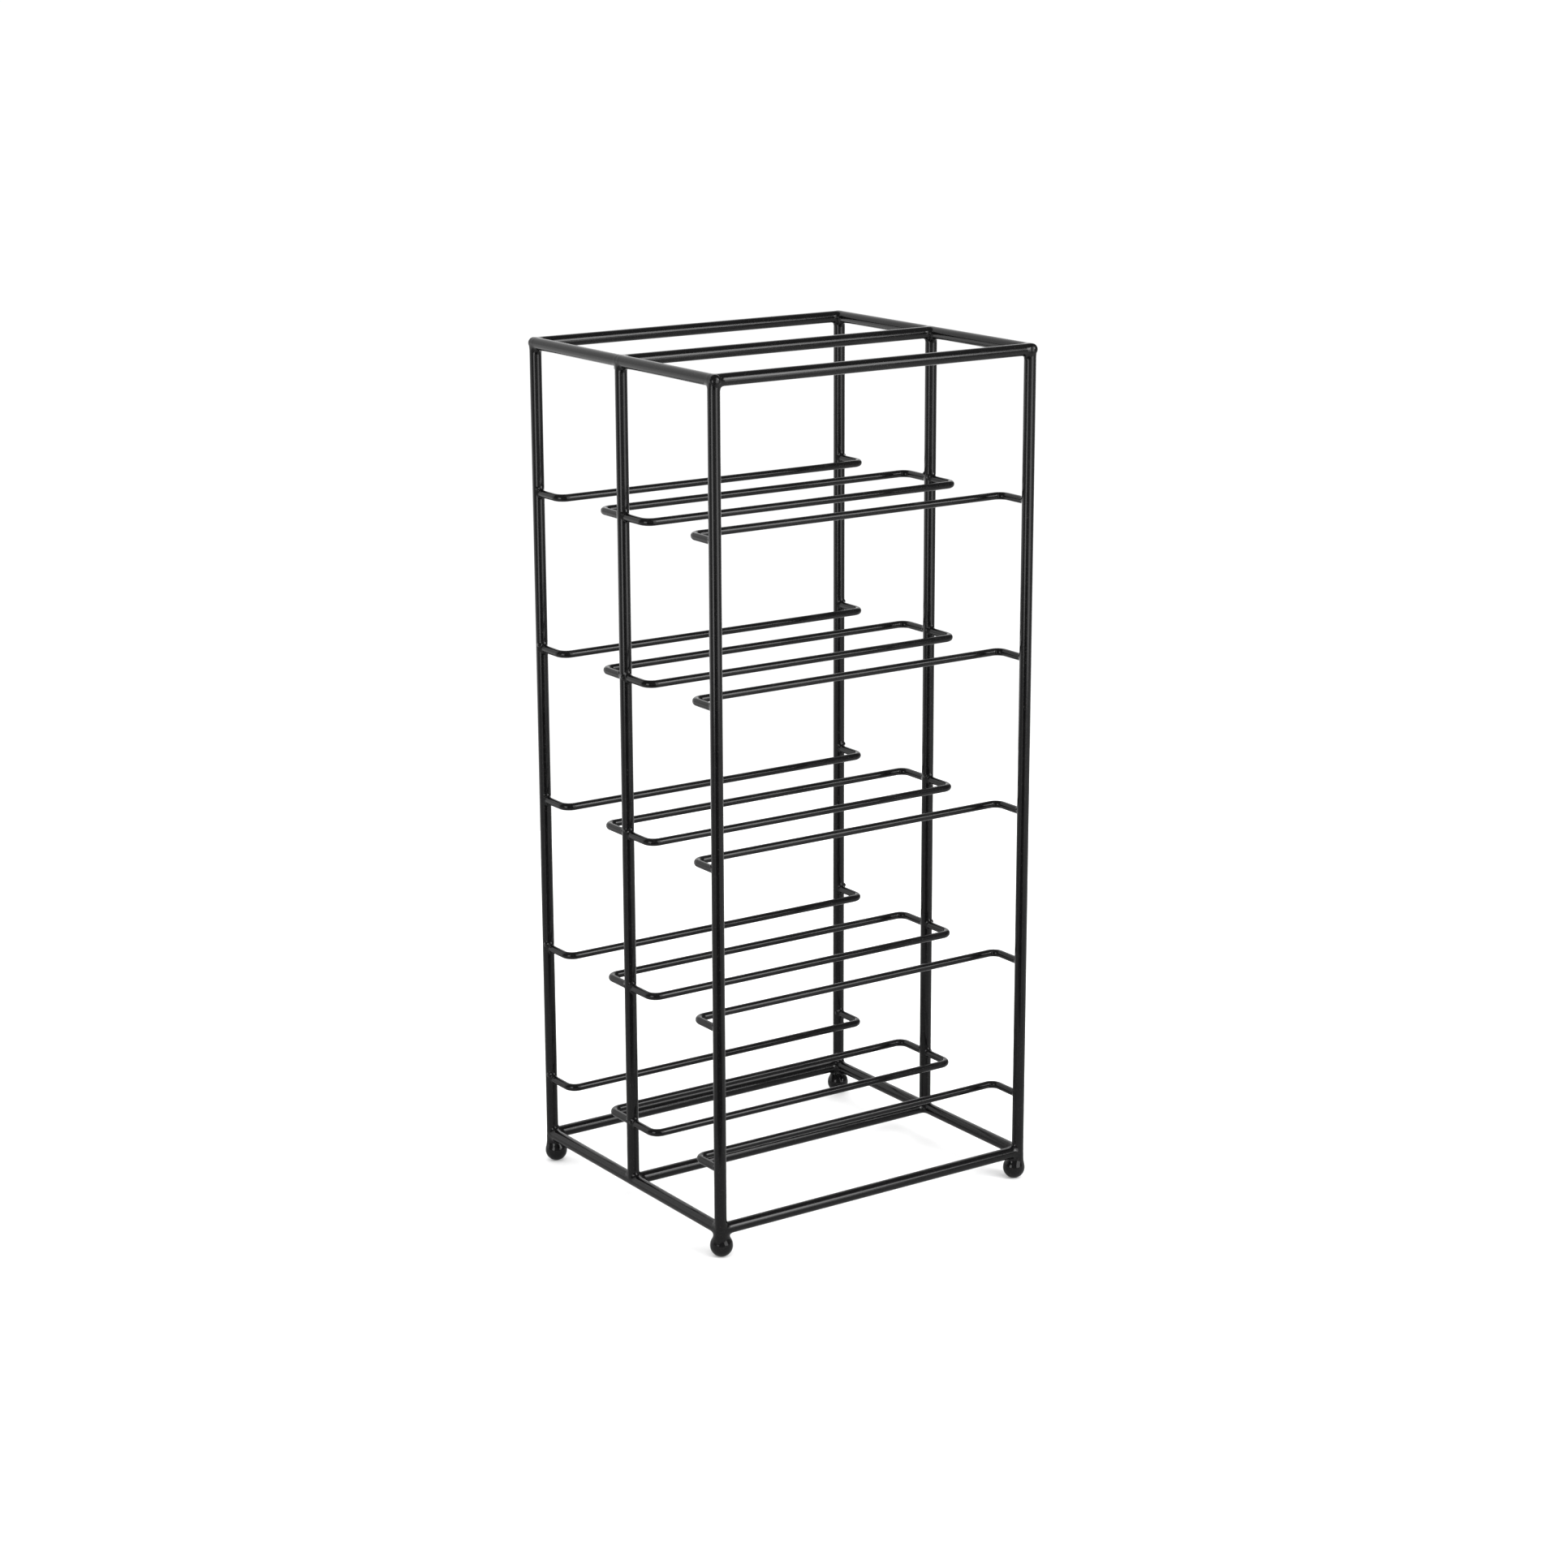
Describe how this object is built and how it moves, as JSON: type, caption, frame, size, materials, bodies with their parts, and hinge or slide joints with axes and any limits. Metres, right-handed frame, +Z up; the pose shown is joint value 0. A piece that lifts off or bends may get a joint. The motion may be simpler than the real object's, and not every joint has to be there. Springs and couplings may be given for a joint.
{
  "type": "wine rack",
  "caption": "Tall open counter-top rack of black welded round rod on ball feet, with two columns of paired shelf rods that each hold a bottle lying on its side.",
  "frame": {"origin": "centre of the footprint, on the surface that the four ball feet stand on", "axes": "+Z up along the posts, -Y towards the end that the bottle necks point to, +X to the right seen from that end"},
  "size_m": [0.2236, 0.2556, 0.5734],
  "materials": {
    "black_coat": "semi-gloss black powder coat",
    "coat_over_weld": "glossy black powder coat pooled over weld beads"
  },
  "bodies": {
    "root": {"top_rail_front": "black_coat", "top_rail_back": "black_coat", "top_rail_left": "black_coat", "top_rail_middle": "black_coat", "top_rail_right": "black_coat", "base_rail_front": "black_coat", "base_rail_back": "black_coat", "base_rail_left": "black_coat", "base_rail_middle": "black_coat", "base_rail_right": "black_coat", "post_front_left": "black_coat", "post_front_middle": "black_coat", "post_front_right": "black_coat", "post_back_left": "black_coat", "post_back_middle": "black_coat", "post_back_right": "black_coat", "foot_front_left": "black_coat", "foot_front_right": "black_coat", "foot_back_left": "black_coat", "foot_back_right": "black_coat", "shelf_rod_1_left_outer": "black_coat", "shelf_rod_1_left_inner": "black_coat", "shelf_rod_1_right_inner": "black_coat", "shelf_rod_1_right_outer": "black_coat", "shelf_rod_2_left_outer": "black_coat", "shelf_rod_2_left_inner": "black_coat", "shelf_rod_2_right_inner": "black_coat", "shelf_rod_2_right_outer": "black_coat", "shelf_rod_3_left_outer": "black_coat", "shelf_rod_3_left_inner": "black_coat", "shelf_rod_3_right_inner": "black_coat", "shelf_rod_3_right_outer": "black_coat", "shelf_rod_4_left_outer": "black_coat", "shelf_rod_4_left_inner": "black_coat", "shelf_rod_4_right_inner": "black_coat", "shelf_rod_4_right_outer": "black_coat", "shelf_rod_5_left_outer": "black_coat", "shelf_rod_5_left_inner": "black_coat", "shelf_rod_5_right_inner": "black_coat", "shelf_rod_5_right_outer": "black_coat", "weld_top_frame": "coat_over_weld", "weld_base_frame": "coat_over_weld", "weld_shelf_1": "coat_over_weld", "weld_shelf_2": "coat_over_weld", "weld_shelf_3": "coat_over_weld", "weld_shelf_4": "coat_over_weld", "weld_shelf_5": "coat_over_weld"}
  },
  "joints": []
}
